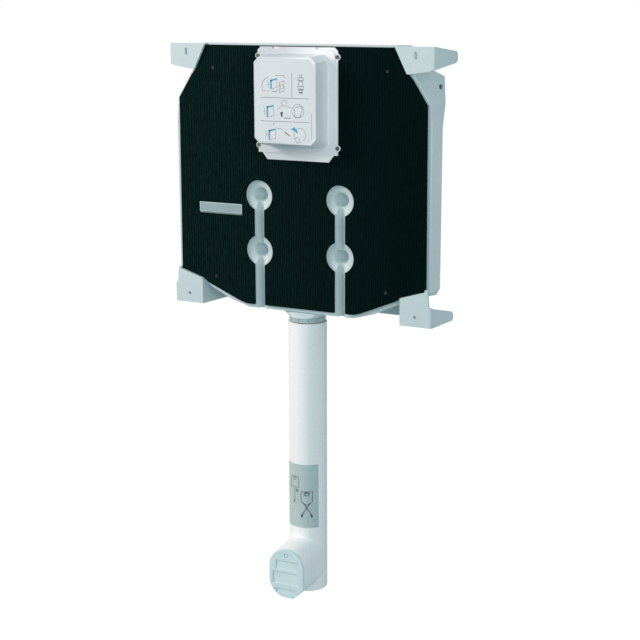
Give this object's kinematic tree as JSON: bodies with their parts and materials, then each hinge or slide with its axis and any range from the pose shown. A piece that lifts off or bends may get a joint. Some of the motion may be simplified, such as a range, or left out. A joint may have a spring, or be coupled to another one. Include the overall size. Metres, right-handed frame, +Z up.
{
  "type": "concealed toilet cistern",
  "caption": "Flat in-wall toilet cistern with foam-faced tank, dual-flush valve and fill valve inside, removable service cover, and an insulated flush pipe bent forward to the pan.",
  "frame": {"origin": "point on the wall plane behind the tank, in the middle of its width and half way up between the upper and the lower fixings", "axes": "+Y from the front into the wall, +Z up, +X to the right as seen from the front; the flush pipe's outlet points along -Y"},
  "size_m": [0.439, 0.128, 0.8544],
  "materials": {
    "tank_plastic": "matte",
    "foam": "ribbed foam",
    "cover_plastic": "satin",
    "label": "printed film",
    "white_plastic": "satin",
    "polystyrene": "moulded foam",
    "sticker": "clear film",
    "cap_plastic": "satin",
    "grey_plastic": "satin",
    "blue_plastic": "satin",
    "seal_rubber": "matte",
    "brass": "machined",
    "steel": "zinc plated",
    "braided_hose": "braided sleeve"
  },
  "bodies": {
    "cistern": {"tank_shell": "tank_plastic", "tank_front_shell": "tank_plastic", "insulation_panel": "foam", "panel_pins": "cover_plastic", "opening_gasket": "seal_rubber", "shaft_frame": "white_plastic", "outlet_lip_seal": "seal_rubber", "valve_seat_ring": "grey_plastic", "valve_seat_gasket": "seal_rubber", "valve_basket": "white_plastic", "actuator_bracket": "white_plastic", "full_flush_cylinder": "grey_plastic", "half_flush_cylinder": "grey_plastic", "full_flush_air_hose": "blue_plastic", "half_flush_air_hose": "blue_plastic", "air_couplings": "grey_plastic", "inlet_washer": "seal_rubber", "inlet_union": "brass", "inlet_locknut": "brass", "inlet_pipe": "grey_plastic", "union_nuts": "brass", "stop_valve_body": "brass", "supply_hose": "braided_hose", "fill_valve_bracket": "grey_plastic", "fill_valve_body": "white_plastic", "fill_valve_diaphragm": "seal_rubber", "fill_valve_cap": "white_plastic", "silencer_tube": "white_plastic", "lever_pin": "steel"},
    "service_cover": {"inspection_cover": "cover_plastic", "cover_label": "label", "cover_screws": "steel"},
    "stop_valve_handle": {"stop_valve_knob": "blue_plastic"},
    "fill_float": {"fill_valve_float": "blue_plastic"},
    "fill_lever": {"float_lever": "grey_plastic"},
    "flush_lifter": {"overflow_tube": "white_plastic", "main_seal": "seal_rubber", "full_flush_float": "grey_plastic"},
    "half_flush_lifter": {"half_flush_float": "blue_plastic"},
    "full_plunger": {"full_flush_plunger": "grey_plastic"},
    "half_plunger": {"half_flush_plunger": "blue_plastic"},
    "pipe_nut": {"outlet_nut": "grey_plastic"},
    "flush_bend": {"flush_pipe": "white_plastic", "pipe_insulation_front": "polystyrene", "pipe_insulation_back": "polystyrene", "pipe_sticker": "sticker"},
    "outlet_cap": {"protective_cap": "cap_plastic"}
  },
  "joints": [
    {"name": "cover_pull", "type": "slide", "parent": "cistern", "child": "service_cover", "axis": [0, -1, 0], "range_m": [0, 0.06]},
    {"name": "stop_valve_turn", "type": "hinge", "parent": "cistern", "child": "stop_valve_handle", "pos_m": [-0.038, -0.05, 0.1], "axis": [0, -1, 0], "range_deg": [0, 90]},
    {"name": "float_rise", "type": "slide", "parent": "cistern", "child": "fill_float", "axis": [0, 0, 1], "range_m": [0, 0.012]},
    {"name": "fill_lever_turn", "type": "hinge", "parent": "cistern", "child": "fill_lever", "pos_m": [0.11, -0.038, 0.1655], "axis": [0, -1, 0], "range_deg": [0, 16.4]},
    {"name": "flush_lift", "type": "slide", "parent": "cistern", "child": "flush_lifter", "axis": [0, 0, 1], "range_m": [0, 0.018]},
    {"name": "half_flush_lift", "type": "slide", "parent": "flush_lifter", "child": "half_flush_lifter", "axis": [0, 0, 1], "range_m": [0, 0.012]},
    {"name": "full_plunger_push", "type": "slide", "parent": "cistern", "child": "full_plunger", "axis": [0, 0, 1], "range_m": [0, 0.018]},
    {"name": "half_plunger_push", "type": "slide", "parent": "cistern", "child": "half_plunger", "axis": [0, 0, 1], "range_m": [0, 0.012]},
    {"name": "outlet_nut_turn", "type": "hinge", "parent": "cistern", "child": "pipe_nut", "pos_m": [0, -0.0525, -0.2134], "axis": [0, 0, 1], "range_deg": [0, 300]},
    {"name": "flush_bend_turn", "type": "hinge", "parent": "cistern", "child": "flush_bend", "pos_m": [0, -0.0525, -0.4], "axis": [0, 0, 1], "range_deg": [-90, 90]},
    {"name": "outlet_cap_pull", "type": "slide", "parent": "flush_bend", "child": "outlet_cap", "axis": [0, -1, 0], "range_m": [0, 0.06]}
  ],
  "couplings": [
    {"joint": "fill_lever_turn", "follows": "float_rise", "rad_per_m": 23.81},
    {"joint": "full_plunger_push", "follows": "flush_lift", "ratio": 1},
    {"joint": "half_plunger_push", "follows": "half_flush_lift", "ratio": 1}
  ]
}
